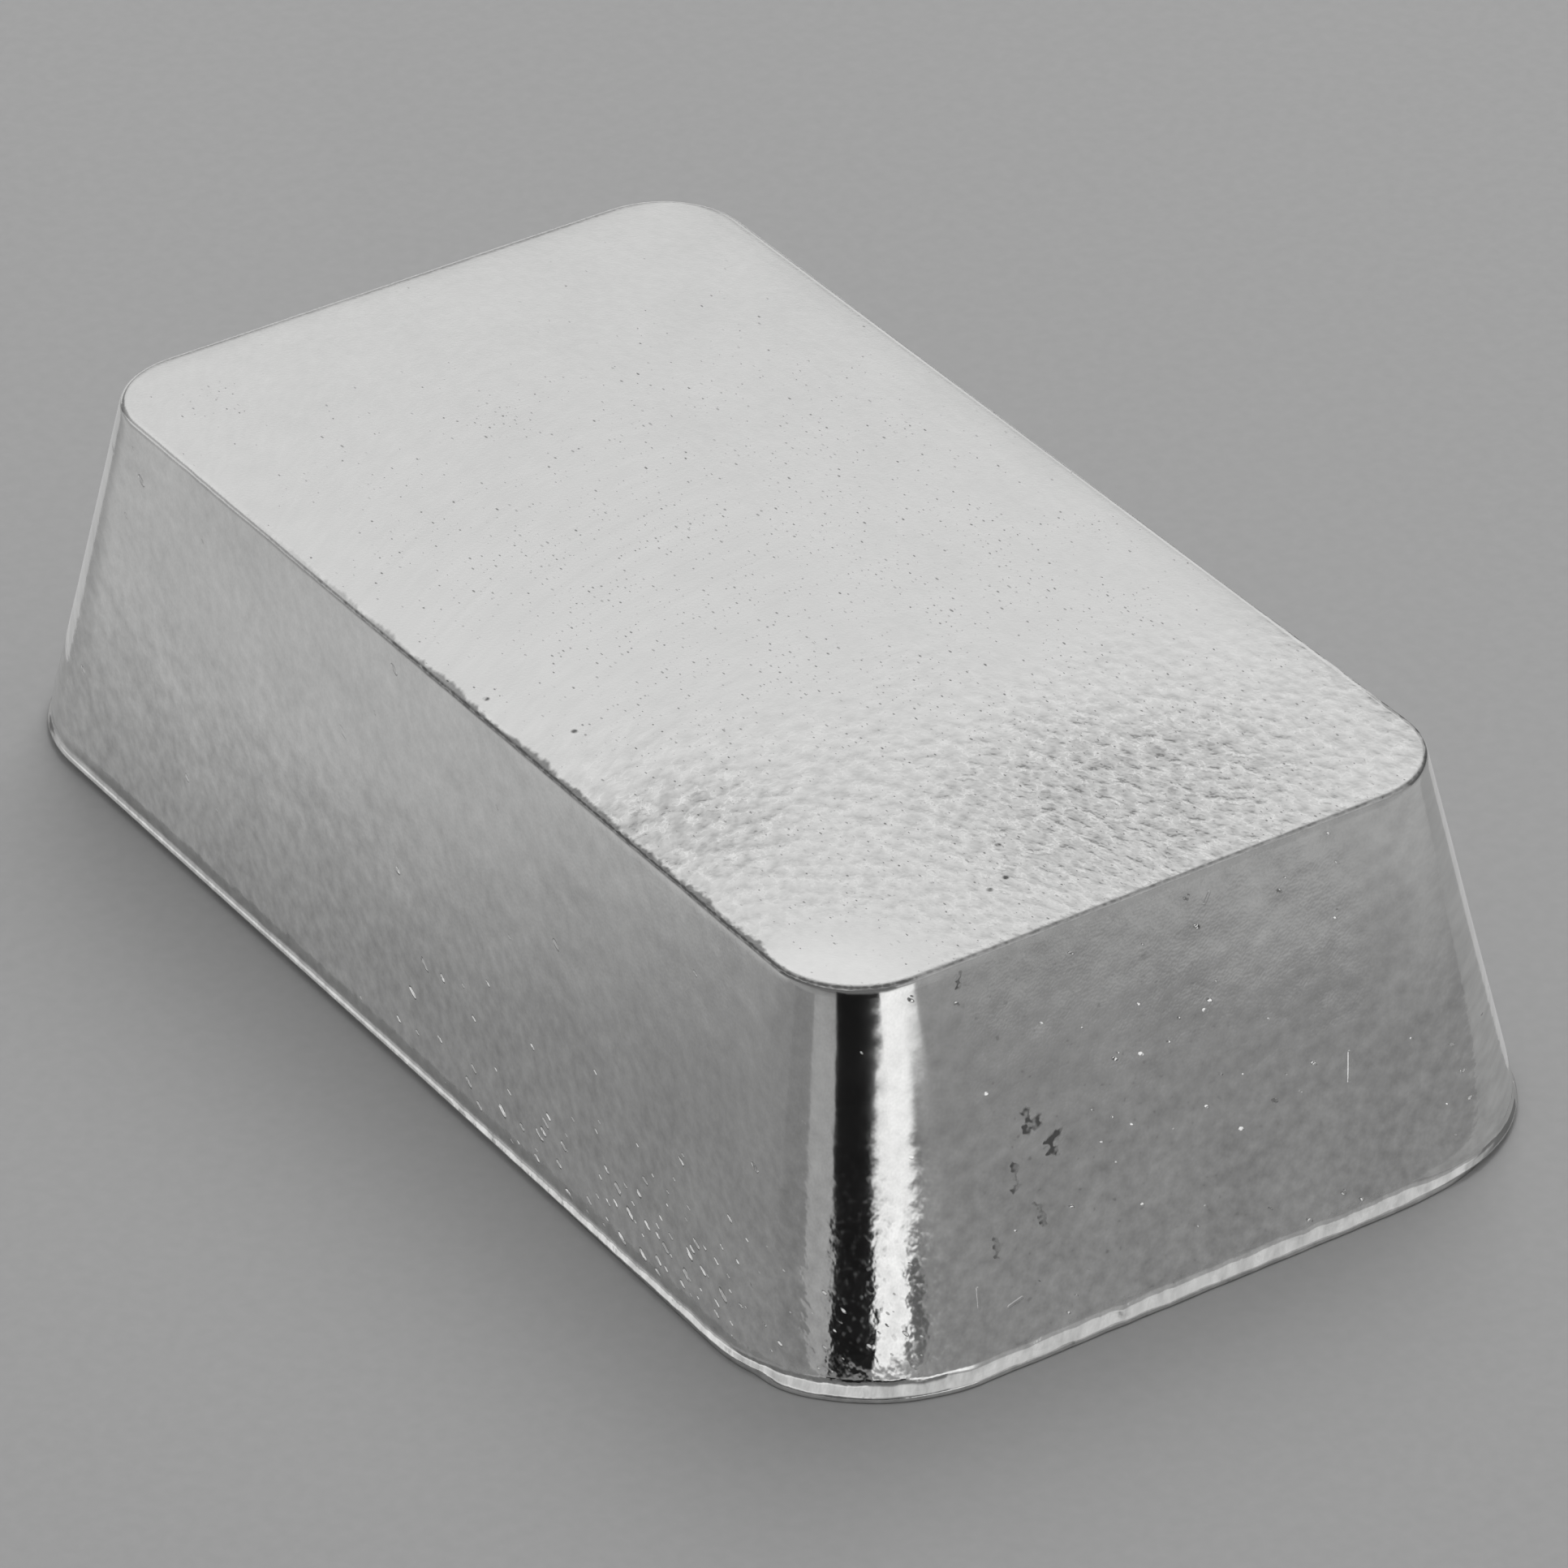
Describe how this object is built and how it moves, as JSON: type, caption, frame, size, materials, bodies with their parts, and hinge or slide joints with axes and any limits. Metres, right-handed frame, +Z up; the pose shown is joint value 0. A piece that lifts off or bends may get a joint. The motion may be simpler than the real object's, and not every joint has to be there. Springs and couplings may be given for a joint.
{
  "type": "silver bar",
  "caption": "Cast silver bar: a solid drafted block with round corners, a flat crown and a thin lip round its wide foot, kept as raw metal stock.",
  "frame": {"origin": "middle of the flat foot, on the surface that the bar lies on", "axes": "+X along the length, +Y across the width, +Z up from the wide foot to the narrower crown"},
  "size_m": [0.0936, 0.054, 0.0233],
  "materials": {
    "silver": "as-cast satin silver"
  },
  "bodies": {
    "root": {"silver_bar": "silver"}
  },
  "joints": []
}
